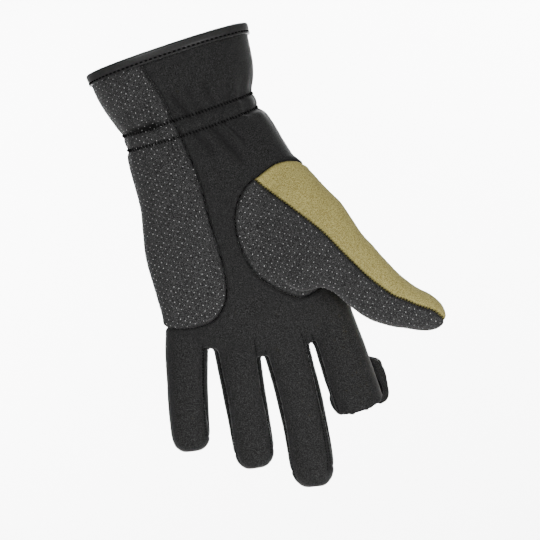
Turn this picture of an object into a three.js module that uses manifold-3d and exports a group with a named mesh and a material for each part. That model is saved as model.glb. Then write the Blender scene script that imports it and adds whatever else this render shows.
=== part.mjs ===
// A left-hand fishing glove in the form that it takes on a hand, hanging with its fingers down.
// +Z runs up the arm, -Y is the palm side and +X the thumb side. The origin is the middle of the
// cuff opening. The glove is a hollow skin of cut panels: palm, back, heel grip, thumb grip,
// thumb back, three strips between the fingers, the cuff binding and the folded index hood.
import * as THREE from "three";
import { mergeVertices } from "three/addons/utils/BufferGeometryUtils.js";
import Module from "manifold-3d";

const wasm = await Module();
wasm.setup();

// Sizes of the whole glove, in millimetres
const cuffLength = 38.5;
const palmLength = 125;
const cuffWidth = 84;
const cuffDepth = 56;
const wristWidth = 69.6;
const wristDepth = 47;
const palmWidth = 92.5;
const palmDepth = 33;
const wall = 2;
const gap = 0.3;

// The elastic at the wrist lies between two stitched grooves
const elasticWidth = 7.5;
const grooveDepth = 1;
const elasticSag = 3.2;
const gatherCount = 16;
const gatherDepth = 0.9;

// The web between the fingers is lower on the index side and arched across the palm
const webLean = 21;
const webArch = 79;

// The fingers curl towards the palm from some way above the web, and the side seam lies a little
// behind the middle of the hand
const curlForward = 14;
const curlLength = 114;
const curlAboveWeb = 44;
const sideSeamBack = 3;
const stripWidth = 11;

// The folded binding that closes the cuff's edge
const bindingHeight = 5.8;
const bindingThickness = 0.9;

// The thumb leans out from its root, which lies at shares of the palm's width and length
const thumbReach = 97.5;
const thumbWidth = 28;
const thumbDepth = 25;
const thumbLean = 36.9;
const thumbForward = 37;
const thumbRoot = { across: 0.324, down: 0.455 };

// The index finger is open at its end, lower in the middle than at its sides. Its hood is turned
// back over the finger, moved to the thumb side, with that edge bent round towards the palm.
const mouthDrop = 2.5;
const hoodLength = 27;
const hoodWidth = 29.3;
const hoodDepth = 10.6;
const hoodWall = 1.6;
const hoodShift = 3.1;
const hoodBend = 8.5;
const hoodBendFrom = 0.45;

// One row for each finger. Root is a share of the palm's width, leans are in degrees from straight
// down, positive towards the little finger, and strip is the share of the reach with side strips.
const fingers = [
  { root: -0.349, reach: 70.5, width: 20.4, depth: 16.5, leanRoot: 21, leanTip: 11, strip: 0.9 },
  { root: -0.118, reach: 86.5, width: 21.4, depth: 18, leanRoot: 7.5, leanTip: 9.5, strip: 0.9 },
  { root: 0.11, reach: 104, width: 23.2, depth: 19, leanRoot: -2, leanTip: 12, strip: 0.91 },
  { root: 0.365, reach: 75, width: 25.2, depth: 19.5, leanRoot: -2.5, leanTip: 0, strip: 0.93 },
];
const indexFinger = fingers[3];
const fingersDown = 0.73;

// Cuff sections. Down is a share of the cuff's length, left and right are how far each side has
// narrowed from the opening to the wrist, and gather is a share of the gathers' depth.
const cuffRows = [
  { down: 0, left: 0, right: 0, gather: 0 },
  { down: 0.26, left: 0.14, right: 0.19, gather: 0 },
  { down: 0.52, left: 0.4, right: 0.38, gather: 0.05 },
  { down: 0.72, left: 0.72, right: 0.7, gather: 0.45 },
  { down: 0.84, left: 0.94, right: 1.03, gather: 0.7 },
];

// Elastic sections. Across is a share of the elastic's width from its middle, sunk is a share of
// the groove's depth, and sag a share of the elastic's sag on the palm side.
const elasticRows = [
  { across: -0.5, sunk: 1, sag: 0.7, gather: 0.3 },
  { across: -0.2, sunk: 0.15, sag: 0.8, gather: 0.7 },
  { across: 0.2, sunk: 0.15, sag: 0.9, gather: 0.7 },
  { across: 0.5, sunk: 1, sag: 1, gather: 0.3 },
];

// Palm sections. Down is a share of the palm's length below the elastic, the next four are how
// far each side has grown from the wrist to the palm, and web is the share of the web's slope.
const palmRows = [
  { down: 0.058, left: 0.1, right: 0.22, front: 0.04, back: 0.06, web: 0, gather: 0.6 },
  { down: 0.115, left: 0.15, right: 0.43, front: 0.1, back: 0.16, web: 0, gather: 0.3 },
  { down: 0.19, left: 0.19, right: 0.61, front: 0.24, back: 0.36, web: 0, gather: 0.05 },
  { down: 0.27, left: 0.26, right: 0.82, front: 0.4, back: 0.53, web: 0, gather: 0 },
  { down: 0.37, left: 0.51, right: 0.95, front: 0.57, back: 0.69, web: 0, gather: 0 },
  { down: 0.48, left: 0.73, right: 1, front: 0.78, back: 0.83, web: 0, gather: 0 },
  { down: 0.61, left: 0.82, right: 0.96, front: 1, back: 1, web: 0, gather: 0 },
  { down: 0.74, left: 0.86, right: 0.96, front: 1.1, back: 1.05, web: 0.12, gather: 0 },
  { down: 0.86, left: 0.95, right: 0.97, front: 1.24, back: 1.2, web: 0.5, gather: 0 },
  { down: 0.945, left: 0.9, right: 0.9, front: 1.55, back: 1.5, web: 0.85, gather: 0 },
  { down: 1, left: 0.7, right: 0.6, front: 2.15, back: 2.1, web: 1, gather: 0 },
];

// Finger sections as shares of reach, width and depth. The tip is a rounded end.
const fingerRows = [
  { along: 0, wide: 1.06, deep: 1 },
  { along: 0.3, wide: 1.04, deep: 1.02 },
  { along: 0.6, wide: 1, deep: 1 },
  { along: 0.87, wide: 0.97, deep: 0.95 },
  { along: 0.94, wide: 0.88, deep: 0.84 },
  { along: 0.98, wide: 0.66, deep: 0.6 },
  { along: 1, wide: 0.3, deep: 0.26 },
];
const openFingerRows = [
  { along: 0, wide: 1.02, deep: 1 },
  { along: 0.35, wide: 1, deep: 1.02 },
  { along: 0.7, wide: 1, deep: 1 },
  { along: 1, wide: 0.98, deep: 0.94 },
];

// Thumb sections. Along is a share of its reach, offset and half are shares of its width to the
// outer side, forward is a share of how far the tip comes forward, deep a share of its depth, and
// wrap is how far the grip fabric wraps behind the middle, as a share of the half depth.
const thumbRows = [
  { along: -0.14, offset: 0.12, half: 0.83, forward: 0.1, deep: 0.95, wrap: 0.9 },
  { along: -0.04, offset: 0.04, half: 0.85, forward: 0.18, deep: 1.1, wrap: 0.9 },
  { along: 0.08, offset: -0.08, half: 0.88, forward: 0.26, deep: 1.17, wrap: 0.9 },
  { along: 0.2, offset: -0.17, half: 0.88, forward: 0.38, deep: 1.18, wrap: 0.9 },
  { along: 0.32, offset: -0.23, half: 0.79, forward: 0.5, deep: 1.13, wrap: 0.8 },
  { along: 0.4, offset: -0.15, half: 0.6, forward: 0.59, deep: 1.08, wrap: 0.5 },
  { along: 0.46, offset: -0.155, half: 0.55, forward: 0.65, deep: 1.05, wrap: 0.3 },
  { along: 0.56, offset: -0.218, half: 0.517, forward: 0.76, deep: 1, wrap: 0.15 },
  { along: 0.68, offset: -0.26, half: 0.476, forward: 0.86, deep: 0.96, wrap: 0.1 },
  { along: 0.78, offset: -0.225, half: 0.418, forward: 0.93, deep: 0.92, wrap: 0.05 },
  { along: 0.87, offset: -0.14, half: 0.36, forward: 0.97, deep: 0.84, wrap: 0 },
  { along: 0.94, offset: -0.095, half: 0.285, forward: 0.99, deep: 0.66, wrap: 0 },
  { along: 0.98, offset: -0.075, half: 0.19, forward: 1, deep: 0.44, wrap: 0 },
  { along: 1, offset: -0.063, half: 0.045, forward: 1, deep: 0.24, wrap: 0 },
];
const freeThumbFrom = 0.3;
const closedTipRows = 2;

// Hood sections from its mouth up to its closed end, as shares of its length, width and depth
const hoodRows = [
  { up: 0, wide: 0.82, deep: 0.86 },
  { up: 0.17, wide: 0.9, deep: 0.98 },
  { up: 0.42, wide: 0.98, deep: 1 },
  { up: 0.64, wide: 1, deep: 0.98 },
  { up: 0.78, wide: 0.9, deep: 0.92 },
  { up: 0.89, wide: 0.7, deep: 0.78 },
  { up: 0.96, wide: 0.46, deep: 0.6 },
  { up: 1, wide: 0.18, deep: 0.32 },
];

// Seams seen from the palm. Across is a share of the palm's width from the middle, and down a
// share of the palm's length below the elastic.
const heelSeam = [
  { across: -0.156, down: -0.33 },
  { across: -0.15, down: -0.247 },
  { across: -0.103, down: -0.115 },
  { across: -0.087, down: -0.022 },
  { across: -0.071, down: 0.087 },
  { across: -0.056, down: 0.24 },
  { across: -0.072, down: 0.416 },
  { across: -0.078, down: 0.574 },
  { across: -0.099, down: 0.684 },
  { across: -0.147, down: 0.755 },
  { across: -0.232, down: 0.798 },
  { across: -0.35, down: 0.798 },
  { across: -0.45, down: 0.775 },
  { across: -0.53, down: 0.745 },
];
const thumbSeam = [
  { across: 0.56, down: 0.35 },
  { across: 0.514, down: 0.312 },
  { across: 0.474, down: 0.287 },
  { across: 0.386, down: 0.274 },
  { across: 0.268, down: 0.299 },
  { across: 0.162, down: 0.334 },
  { across: 0.077, down: 0.409 },
  { across: 0.042, down: 0.515 },
  { across: 0.056, down: 0.629 },
  { across: 0.098, down: 0.7 },
  { across: 0.184, down: 0.774 },
  { across: 0.268, down: 0.818 },
  { across: 0.343, down: 0.814 },
  { across: 0.406, down: 0.802 },
];
const thumbBackSeam = [
  { across: 0.515, down: 0.303 },
  { across: 0.44, down: 0.38 },
  { across: 0.4, down: 0.5 },
  { across: 0.395, down: 0.62 },
  { across: 0.42, down: 0.72 },
  { across: 0.47, down: 0.79 },
];
// Colour seam along the thumb, as shares of its reach and width in its own line
const oliveSeam = [
  { along: -0.22, offset: 0.14 },
  { along: -0.096, offset: 0.106 },
  { along: 0.046, offset: 0.087 },
  { along: 0.226, offset: 0.047 },
  { along: 0.358, offset: -0.041 },
  { along: 0.444, offset: -0.1 },
  { along: 0.549, offset: -0.161 },
  { along: 0.638, offset: -0.181 },
  { along: 0.717, offset: -0.179 },
  { along: 0.777, offset: -0.125 },
  { along: 0.842, offset: -0.081 },
  { along: 0.929, offset: 0 },
  { along: 1.02, offset: -0.03 },
];

const bodySides = 28;
const fingerSides = 16;
const thumbSides = 16;
const hoodSides = 16;
const seamSteps = 24;
const curlSteps = 24;
const squareness = 2.25;
const leastHalf = 0.3;
const grain = 0.02;
const pastSkin = 1.5;
const farAway = palmWidth + thumbReach;
const pastEnd = cuffWidth / 4;

const black = { color: 0x1d1d1f, roughness: 0.95, metalness: 0 };
const grip = { color: 0x2b2b2d, roughness: 0.8, metalness: 0 };
const olive = { color: 0x8f8b52, roughness: 0.95, metalness: 0 };
const trim = { color: 0x3a3c3e, roughness: 0.6, metalness: 0 };

const lerp = THREE.MathUtils.lerp;
const radians = THREE.MathUtils.degToRad;
const at = (x, z) => new THREE.Vector2(x, z);

const webHeight = -(cuffLength + palmLength);

// How far the fingers have come forward at a height, as a Y value
function curl(z) {
  const share = Math.max(0, (webHeight + curlAboveWeb - z) / curlLength);
  return -curlForward * share * share;
}

// A solid from a closed geometry, turned the right way out
function solidOf(geometry) {
  const bare = geometry.clone();
  for (const name of ["normal", "uv"]) bare.deleteAttribute(name);
  const merged = mergeVertices(bare, 1e-4);
  const triVerts = new Uint32Array(merged.index.array);
  const build = () =>
    new wasm.Manifold(
      new wasm.Mesh({ numProp: 3, vertProperties: merged.attributes.position.array, triVerts }),
    );
  const made = build();
  if (made.volume() > 0) return made;
  for (let i = 0; i < triVerts.length; i += 3)
    [triVerts[i + 1], triVerts[i + 2]] = [triVerts[i + 2], triVerts[i + 1]];
  return build();
}

// A closed solid through rings of points, each end closed by bars from its front to its back
function loft(rings) {
  const count = rings[0].length;
  const index = [];
  for (let r = 0; r < rings.length - 1; r++)
    for (let i = 0; i < count; i++) {
      const a = r * count + i;
      const b = r * count + ((i + 1) % count);
      index.push(a, b, b + count, a, b + count, a + count);
    }
  for (const end of [0, rings.length - 1])
    for (let i = 0; i < count / 2; i++) {
      const [a, b] = [end * count + i, end * count + i + 1];
      const [c, d] = [end * count + count - i - 1, end * count + ((count - i) % count)];
      const bars = [...(i < count / 2 - 1 ? [a, b, c] : []), ...(i > 0 ? [a, c, d] : [])];
      index.push(...(end ? bars : bars.reverse()));
    }
  const geometry = new THREE.BufferGeometry().setFromPoints(rings.flat());
  geometry.setIndex(index);
  return solidOf(geometry);
}

// A rounded section's unit point: u across and v towards the palm, each from -1 to 1
function sectionPoint(turn) {
  const [c, s] = [Math.cos(turn), Math.sin(turn)];
  const power = 2 / squareness;
  return {
    u: Math.sign(c) * Math.abs(c) ** power,
    v: Math.sign(s) * Math.abs(s) ** power,
  };
}

function ringOf(sides, pointAt) {
  return Array.from({ length: sides }, (_, i) => pointAt((2 * Math.PI * i) / sides));
}

// The sections of the cuff and palm, from the opening down, in millimetres
function bodySections() {
  const sections = [];
  for (const row of cuffRows)
    sections.push({
      z: -row.down * cuffLength,
      left: lerp(cuffWidth, wristWidth, row.left) / 2,
      right: lerp(cuffWidth, wristWidth, row.right) / 2,
      front: lerp(cuffDepth, wristDepth, row.left) / 2,
      back: lerp(cuffDepth, wristDepth, row.left) / 2,
      sag: 0,
      web: 0,
      gather: row.gather,
    });
  for (const row of elasticRows)
    sections.push({
      z: -cuffLength - row.across * elasticWidth,
      left: wristWidth / 2 - row.sunk * grooveDepth,
      right: wristWidth / 2 - row.sunk * grooveDepth,
      front: wristDepth / 2 - row.sunk * grooveDepth,
      back: wristDepth / 2 - row.sunk * grooveDepth,
      sag: row.sag * elasticSag,
      web: 0,
      gather: row.gather,
    });
  for (const row of palmRows)
    sections.push({
      z: -cuffLength - row.down * palmLength,
      left: lerp(wristWidth, palmWidth, row.left) / 2,
      right: lerp(wristWidth, palmWidth, row.right) / 2,
      front: lerp(wristDepth, palmDepth, row.front) / 2,
      back: lerp(wristDepth, palmDepth, row.back) / 2,
      sag: 0,
      web: row.web,
      gather: row.gather,
    });
  return sections;
}

// The height that the web's slope adds at a place across the palm
function webRise(x) {
  const across = x / palmWidth;
  return -webLean * across + webArch * across * across;
}

// The outside of the cuff and palm, moved out by grow, and opened past the cuff by open
function bodySolid(grow, open) {
  const sections = bodySections();
  const last = sections.length - 1;
  const rings = sections.map((section, row) =>
    ringOf(bodySides, (turn) => {
      const { u, v } = sectionPoint(turn);
      const fold = gatherDepth * section.gather * (Math.cos(gatherCount * turn) - 1) * 0.5;
      const reach = grow + fold;
      const x = u * ((u < 0 ? section.left : section.right) + reach);
      const depth = (v > 0 ? section.front : section.back) + reach;
      const rise = section.web * webRise(x) - section.sag * Math.max(0, v);
      const z = section.z + rise - (row === last ? grow : 0);
      return new THREE.Vector3(x, curl(z) - v * depth, z);
    }),
  );
  if (open) rings.unshift(rings[0].map((point) => point.clone().setZ(point.z + open)));
  return loft(rings);
}

// The middle and lean of a finger at a share of its reach
function fingerLine(finger, along) {
  const steps = 24;
  const line = { x: finger.root * palmWidth, z: -cuffLength - fingersDown * palmLength };
  for (let i = 0; i < steps; i++) {
    const share = ((i + 0.5) / steps) * along;
    const lean = radians(lerp(finger.leanRoot, finger.leanTip, share));
    line.x -= (Math.sin(lean) * finger.reach * along) / steps;
    line.z -= (Math.cos(lean) * finger.reach * along) / steps;
  }
  line.lean = radians(lerp(finger.leanRoot, finger.leanTip, along));
  return line;
}

// A point beside a finger's line
function besideFinger(line, side) {
  return at(line.x + side * Math.cos(line.lean), line.z - side * Math.sin(line.lean));
}

// A finger's outside, moved out by grow. The open finger runs past its end by open.
function fingerSolid(finger, grow, open) {
  const rows = finger === indexFinger ? openFingerRows : fingerRows;
  const past = finger === indexFinger ? open : grow;
  const rings = rows.map((row) => {
    const line = fingerLine(finger, row === rows.at(-1) ? 1 + past / finger.reach : row.along);
    return ringOf(fingerSides, (turn) => {
      const { u, v } = sectionPoint(turn);
      const point = besideFinger(line, u * ((row.wide * finger.width) / 2 + grow));
      const y = curl(point.y) - v * ((row.deep * finger.depth) / 2 + grow);
      return new THREE.Vector3(point.x, y, point.y);
    });
  });
  return loft(rings);
}

// A point in the thumb's own line, from distances along it and to its outer side
function thumbPoint(along, offset, y) {
  const lean = radians(thumbLean);
  return new THREE.Vector3(
    thumbRoot.across * palmWidth + along * Math.sin(lean) + offset * Math.cos(lean),
    y,
    -cuffLength - thumbRoot.down * palmLength - along * Math.cos(lean) + offset * Math.sin(lean),
  );
}

// The thumb's outside, moved out by grow, from a share of its reach on
function thumbSolid(grow, from = thumbRows[0].along) {
  const rows = thumbRows.filter((row) => row.along >= from);
  const rings = rows.map((row) => {
    let end = 0;
    if (row === rows[0]) end = -grow;
    if (row === rows.at(-1)) end = grow;
    return ringOf(thumbSides, (turn) => {
      const { u, v } = sectionPoint(turn);
      const half = Math.max(row.half * thumbWidth + grow, leastHalf);
      const deep = Math.max((row.deep * thumbDepth) / 2 + grow, leastHalf);
      return thumbPoint(
        row.along * thumbReach + end,
        row.offset * thumbWidth + u * half,
        -row.forward * thumbForward - v * deep,
      );
    });
  });
  return loft(rings);
}

// A prism over an outline. Along "y" the outline is in X and Z, along "x" it is in Y and Z.
function prism(outline, axis, from, to) {
  const shape = new THREE.Shape(outline);
  const made = new THREE.ExtrudeGeometry(shape, { depth: to - from, bevelEnabled: false });
  const position = made.getAttribute("position");
  for (let i = 0; i < position.count; i++) {
    const [u, v, w] = [position.getX(i), position.getY(i), position.getZ(i) + from];
    if (axis === "y") position.setXYZ(i, u, w, v);
    else position.setXYZ(i, w, u, v);
  }
  return solidOf(made);
}

// A smooth seam through table rows, moved to its left by shift
function seamLine(points, shift) {
  const curve = new THREE.SplineCurve(points);
  const spaced = curve.getPoints(seamSteps);
  return spaced.map((point, i) => {
    const before = spaced[Math.max(i - 1, 0)];
    const after = spaced[Math.min(i + 1, seamSteps)];
    const along = after.clone().sub(before).normalize();
    return new THREE.Vector2(point.x - along.y * shift, point.y + along.x * shift);
  });
}

const palmPoint = (row) =>
  new THREE.Vector2(row.across * palmWidth, -cuffLength - row.down * palmLength);
const thumbPlanePoint = (row) => {
  const point = thumbPoint(row.along * thumbReach, row.offset * thumbWidth, 0);
  return new THREE.Vector2(point.x, point.z);
};
// A line that keeps its distance behind the curling middle of the hand, from the top down
function curledLine(behind) {
  const [top, bottom] = [pastEnd, webHeight - curlLength];
  const heights = Array.from({ length: curlSteps + 1 }, (_, i) => lerp(top, bottom, i / curlSteps));
  return heights.map((z) => at(curl(z) + behind, z));
}

// Everything on the palm side of the side seam, moved back by shift
function frontHalf(shift) {
  const edge = curledLine(sideSeamBack + shift);
  const outline = [at(-farAway, edge[0].y), ...edge, at(-farAway, edge.at(-1).y)];
  return prism(outline, "x", -farAway, farAway);
}

// The band that the strips between the fingers are cut from, widened by grow
function stripBand(grow) {
  const half = stripWidth / 2 + grow;
  return prism([...curledLine(-half), ...curledLine(half).reverse()], "x", -farAway, farAway);
}

// The space between two fingers' middles, from above their web to the strips' ends
function stripRegion(left, right, grow) {
  const edgeOf = (finger, direction) => {
    const middle = [];
    for (const share of [0.1, 0.3, 0.5, 0.7, 0.9]) {
      const line = fingerLine(finger, share * finger.strip);
      middle.push(at(line.x - direction * grow, line.z));
    }
    const end = fingerLine(finger, finger.strip + grow / finger.reach);
    const outside = direction * (finger.width / 2 + pastSkin);
    return [...middle, besideFinger(end, 0), besideFinger(end, outside)];
  };
  const outline = [...edgeOf(left, 1), ...edgeOf(right, -1).reverse()];
  return prism(outline, "y", -farAway, farAway);
}

// What lies on the thumb's side of a seam, at any depth
function thumbSide(rows, grow) {
  const seam = seamLine(rows.map(palmPoint), -grow);
  const corners = [at(farAway, seam.at(-1).y), at(farAway, seam[0].y)];
  return prism([...seam, ...corners], "y", -farAway, farAway);
}

// The space of the thumb's panels, widened by grow
function thumbRegion(grow) {
  const half = frontHalf(0);
  return thumbSide(thumbSeam, grow)
    .intersect(half)
    .add(thumbSide(thumbBackSeam, grow).subtract(half))
    .add(thumbSolid(pastSkin + grow, freeThumbFrom));
}

// The space of the heel's grip panel, widened by grow
function heelRegion(grow) {
  const seam = seamLine(heelSeam.map(palmPoint), grow);
  const corners = [at(-farAway, seam.at(-1).y), at(-farAway, pastEnd), at(seam[0].x, pastEnd)];
  return prism([...seam, ...corners], "y", -farAway, farAway);
}

// The thumb's back panel lies outside its colour seam and behind the grip fabric's wrapped edge
function oliveRegion(grow) {
  const seam = seamLine(oliveSeam.map(thumbPlanePoint), -grow);
  const corners = [at(farAway, seam.at(-1).y), at(farAway, 0), at(seam[0].x, 0)];
  const wrapped = thumbRows.slice(0, -closedTipRows).map((row) => {
    const low = thumbPoint(row.along * thumbReach, (row.offset - row.half) * thumbWidth, 0);
    return at(-row.forward * thumbForward + (row.wrap * row.deep * thumbDepth) / 2 - grow, low.z);
  });
  const below = webHeight - curlLength;
  const ends = [at(wrapped.at(-1).x, below), at(farAway, below), at(farAway, 0)];
  const behind = prism([at(wrapped[0].x, 0), ...wrapped, ...ends], "x", -farAway, farAway);
  return prism([...seam, ...corners], "y", -farAway, farAway).add(behind);
}

// The hood's outside, made smaller by inset, and open past its mouth by open
function hoodSolid(inset, open) {
  const mouth = fingerLine(indexFinger, 1);
  const seat = curl(mouth.z) + indexFinger.depth / 2 + gap + hoodDepth / 2;
  const rings = hoodRows.map((row) =>
    ringOf(hoodSides, (turn) => {
      const { u, v } = sectionPoint(turn);
      const half = Math.max((row.wide * hoodWidth) / 2 - inset, leastHalf);
      const deep = Math.max((row.deep * hoodDepth) / 2 - inset, leastHalf);
      const side = (2 * u * half) / hoodWidth;
      const bend = hoodBend * (Math.max(0, side - hoodBendFrom) / (1 - hoodBendFrom)) ** 2;
      return new THREE.Vector3(
        mouth.x + hoodShift + u * half,
        seat - v * deep - bend,
        mouth.z + row.up * (hoodLength - inset),
      );
    }),
  );
  if (open) rings.unshift(rings[0].map((point) => point.clone().setZ(point.z - open)));
  return loft(rings);
}

// The glove's whole outside, moved out by grow, and open past the cuff and the index by open
function gloveForm(grow, open) {
  return fingers
    .map((finger) => fingerSolid(finger, grow, open))
    .reduce((sum, solid) => sum.add(solid), bodySolid(grow, open))
    .add(thumbSolid(grow));
}

// What lies below the index finger's opening
function mouthCut() {
  const end = fingerLine(indexFinger, 1);
  const half = indexFinger.width / 2 + pastSkin;
  const edge = [-1, -0.5, 0, 0.5, 1].map((u) => at(end.x + u * half, end.z + mouthDrop * u * u));
  const corners = [at(end.x + half, end.z - pastEnd), at(end.x - half, end.z - pastEnd)];
  return prism([...edge, ...corners], "y", -farAway, farAway);
}

// Everything between two heights
function slab(from, to) {
  const corners = [at(-farAway, from), at(farAway, from), at(farAway, to), at(-farAway, to)];
  return prism(corners, "y", -farAway, farAway);
}

const fabricTop = -bindingThickness - gap;
const skin = gloveForm(0, 0)
  .subtract(gloveForm(-wall, pastEnd))
  .subtract(mouthCut())
  .subtract(slab(fabricTop, pastEnd));

const strips = ["little_ring", "ring_middle", "middle_index"].map((pair, i) => ({
  name: `strip_${pair}`,
  solid: skin.intersect(stripBand(0)).intersect(stripRegion(fingers[i], fingers[i + 1], 0)),
  cutter: stripBand(gap).intersect(stripRegion(fingers[i], fingers[i + 1], gap)),
}));
const stripCutter = strips.map((strip) => strip.cutter).reduce((sum, solid) => sum.add(solid));

const thumbSkin = skin.intersect(thumbRegion(0)).subtract(stripCutter);
const panelSkin = skin.subtract(thumbRegion(gap)).subtract(stripCutter);
const palmSkin = panelSkin.intersect(frontHalf(-gap / 2));
const backSkin = panelSkin.subtract(frontHalf(gap / 2));

// The binding folds over the cuff's edge, outside and inside
function bindingSolid() {
  const outside = bodySolid(gap + bindingThickness, pastEnd);
  const inside = bodySolid(-wall - gap - bindingThickness, pastEnd);
  const channel = bodySolid(gap, pastEnd).subtract(bodySolid(-wall - gap, pastEnd));
  return outside
    .subtract(inside)
    .intersect(slab(-bindingHeight, 0))
    .subtract(channel.intersect(slab(-bindingHeight - pastEnd, -bindingThickness)));
}

function hoodShell() {
  return hoodSolid(0, 0)
    .subtract(hoodSolid(hoodWall, pastEnd))
    .subtract(fingerSolid(indexFinger, gap, pastEnd));
}

// The largest body of a solid: a cut can leave slivers beside a seam, which are trimmed away
function mainPiece(solid) {
  return solid.decompose().reduce((most, piece) => (piece.volume() > most.volume() ? piece : most));
}

// A geometry with its points on a fine grain, without the triangles that this closes up
function grained(solid) {
  const mesh = solid.getMesh();
  const points = Float32Array.from(mesh.vertProperties, (value) => Math.round(value / grain) * grain);
  const geometry = new THREE.BufferGeometry();
  geometry.setAttribute("position", new THREE.BufferAttribute(points, 3));
  geometry.setIndex(new THREE.BufferAttribute(mesh.triVerts, 1));
  const merged = mergeVertices(geometry, grain / 2);
  const corners = merged.index.array;
  const kept = [];
  for (let i = 0; i < corners.length; i += 3) {
    const [a, b, c] = corners.subarray(i, i + 3);
    if (a !== b && b !== c && c !== a) kept.push(a, b, c);
  }
  merged.setIndex(kept);
  merged.computeVertexNormals();
  return merged;
}

const group = new THREE.Group();
function addPiece(name, solid, look) {
  const piece = new THREE.Mesh(grained(mainPiece(solid)), new THREE.MeshStandardMaterial(look));
  piece.name = name;
  group.add(piece);
}

addPiece("palm_panel", palmSkin.subtract(heelRegion(gap / 2)), black);
addPiece("heel_grip", palmSkin.intersect(heelRegion(-gap / 2)), grip);
addPiece("back_panel", backSkin, black);
addPiece("thumb_back", thumbSkin.intersect(oliveRegion(-gap / 2)), olive);
addPiece("thumb_grip", thumbSkin.subtract(oliveRegion(gap / 2)), grip);
for (const strip of strips) addPiece(strip.name, strip.solid, black);
addPiece("cuff_binding", bindingSolid(), trim);
addPiece("index_hood", hoodShell(), black);

export default group;
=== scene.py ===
import math
from collections import namedtuple

import bpy
import numpy as np
from mathutils import Matrix, Vector, noise
from mathutils.bvhtree import BVHTree
from mathutils.kdtree import KDTree


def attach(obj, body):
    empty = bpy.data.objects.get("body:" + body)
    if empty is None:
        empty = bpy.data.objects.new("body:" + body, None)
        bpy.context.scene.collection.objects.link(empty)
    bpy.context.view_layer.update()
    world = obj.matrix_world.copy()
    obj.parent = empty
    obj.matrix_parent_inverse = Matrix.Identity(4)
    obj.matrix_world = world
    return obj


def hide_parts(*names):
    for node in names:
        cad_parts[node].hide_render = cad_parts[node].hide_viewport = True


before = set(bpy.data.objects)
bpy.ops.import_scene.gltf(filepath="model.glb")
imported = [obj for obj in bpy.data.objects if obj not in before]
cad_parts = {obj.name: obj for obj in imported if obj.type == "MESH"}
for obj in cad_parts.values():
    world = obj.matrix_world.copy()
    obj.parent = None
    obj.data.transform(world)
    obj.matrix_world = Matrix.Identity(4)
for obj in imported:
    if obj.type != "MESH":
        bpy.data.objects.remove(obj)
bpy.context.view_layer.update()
MM = 0.001

# Sizes of the glove, in millimetres. +Z runs up the arm, +X to the thumb, -Y to the palm's side.
CUFF_LENGTH, PALM_LENGTH = 38.5, 125.0
CUFF_WIDTH, CUFF_DEPTH = 84.0, 56.0
WRIST_WIDTH, WRIST_DEPTH = 69.6, 47.0
PALM_WIDTH, PALM_DEPTH = 92.5, 33.0
GAP = 0.3
ELASTIC_WIDTH, GROOVE_DEPTH, ELASTIC_SAG = 7.5, 1.0, 3.2
GATHER_COUNT, GATHER_DEPTH = 16, 0.9
WEB_LEAN, WEB_ARCH = 21.0, 79.0
CURL_FORWARD, CURL_LENGTH, CURL_ABOVE_WEB = 14.0, 114.0, 44.0
WEB_HEIGHT = -CUFF_LENGTH - PALM_LENGTH
SIDE_SEAM_BACK, STRIP_WIDTH = 3.0, 11.0
BINDING_THICKNESS = 0.9
FABRIC_TOP = -BINDING_THICKNESS - GAP
THUMB_REACH, THUMB_WIDTH, THUMB_DEPTH = 97.5, 28.0, 25.0
THUMB_LEAN, THUMB_FORWARD = math.radians(36.9), 37.0
THUMB_SIN, THUMB_COS = math.sin(THUMB_LEAN), math.cos(THUMB_LEAN)
THUMB_ROOT_X, THUMB_ROOT_Z = 0.324 * PALM_WIDTH, -CUFF_LENGTH - 0.455 * PALM_LENGTH
MOUTH_DROP = 2.5
HOOD_LENGTH, HOOD_WIDTH, HOOD_DEPTH, HOOD_WALL = 27.0, 29.3, 10.6, 1.6
HOOD_SHIFT, HOOD_BEND, HOOD_BEND_FROM = 3.1, 8.5, 0.45
FINGERS_DOWN = 0.73
SQUARENESS = 2.25
FAR, TINY = 150.0, 1e-6

# Sizes that only the cloth's look needs, in millimetres
GRAIN = 0.79
BODY_TURNS, BODY_STEP = 128, 0.8
TUBE_TURNS, FINGER_LEVELS, THUMB_LEVELS, CROWDED = 64, 90, 130, 1.6
SEAM_GAP, GAP_REACH = 0.5, 1.8
# A finger is drawn in by its slack from its root to this share of its reach, for the crotch's width
SLACK_FROM, SLACK_OVER = 0.7, 0.25
PAST_END = 6.0
CLOTH = 1.5
SEAM_DEPTH, SEAM_WIDTH, FLAT_SEAM = 0.42, 0.6, 0.35
# Painted shade beside every seam, where the groove falls dark: its strength and width
SEAM_SHADE, SEAM_SHADE_WIDTH = 0.7, 0.75
PUFF, PUFF_AT, PUFF_WIDTH = 0.2, 2.4, 1.4
CHANNEL_PUFF, CHANNEL_WIDTH = 0.25, 2.6
GRIP_RAISE, GRIP_SLOPE = 0.35, 1.2
WAVE, WAVE_LENGTH = 0.35, 17.0

NAMES = "root reach width depth lean_root lean_tip strip open slack_left slack_right"
Finger = namedtuple("Finger", NAMES)
LITTLE = Finger(-0.349, 70.5, 20.4, 16.5, 21.0, 11.0, 0.9, False, 0.0, -0.45)
RING = Finger(-0.118, 86.5, 21.4, 18.0, 7.5, 9.5, 0.9, False, -0.45, -0.3)
MIDDLE = Finger(0.11, 104.0, 23.2, 19.0, -2.0, 12.0, 0.91, False, -0.3, 0.75)
INDEX = Finger(0.365, 75.0, 25.2, 19.5, -2.5, 0.0, 0.93, True, 0.75, 0.0)
FINGERS = (LITTLE, RING, MIDDLE, INDEX)

# down, left, right, gather
CUFF_ROWS = (
    (0.0, 0.0, 0.0, 0.0),
    (0.26, 0.14, 0.19, 0.0),
    (0.52, 0.4, 0.38, 0.05),
    (0.72, 0.72, 0.7, 0.45),
    (0.84, 0.94, 1.03, 0.7),
)
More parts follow.
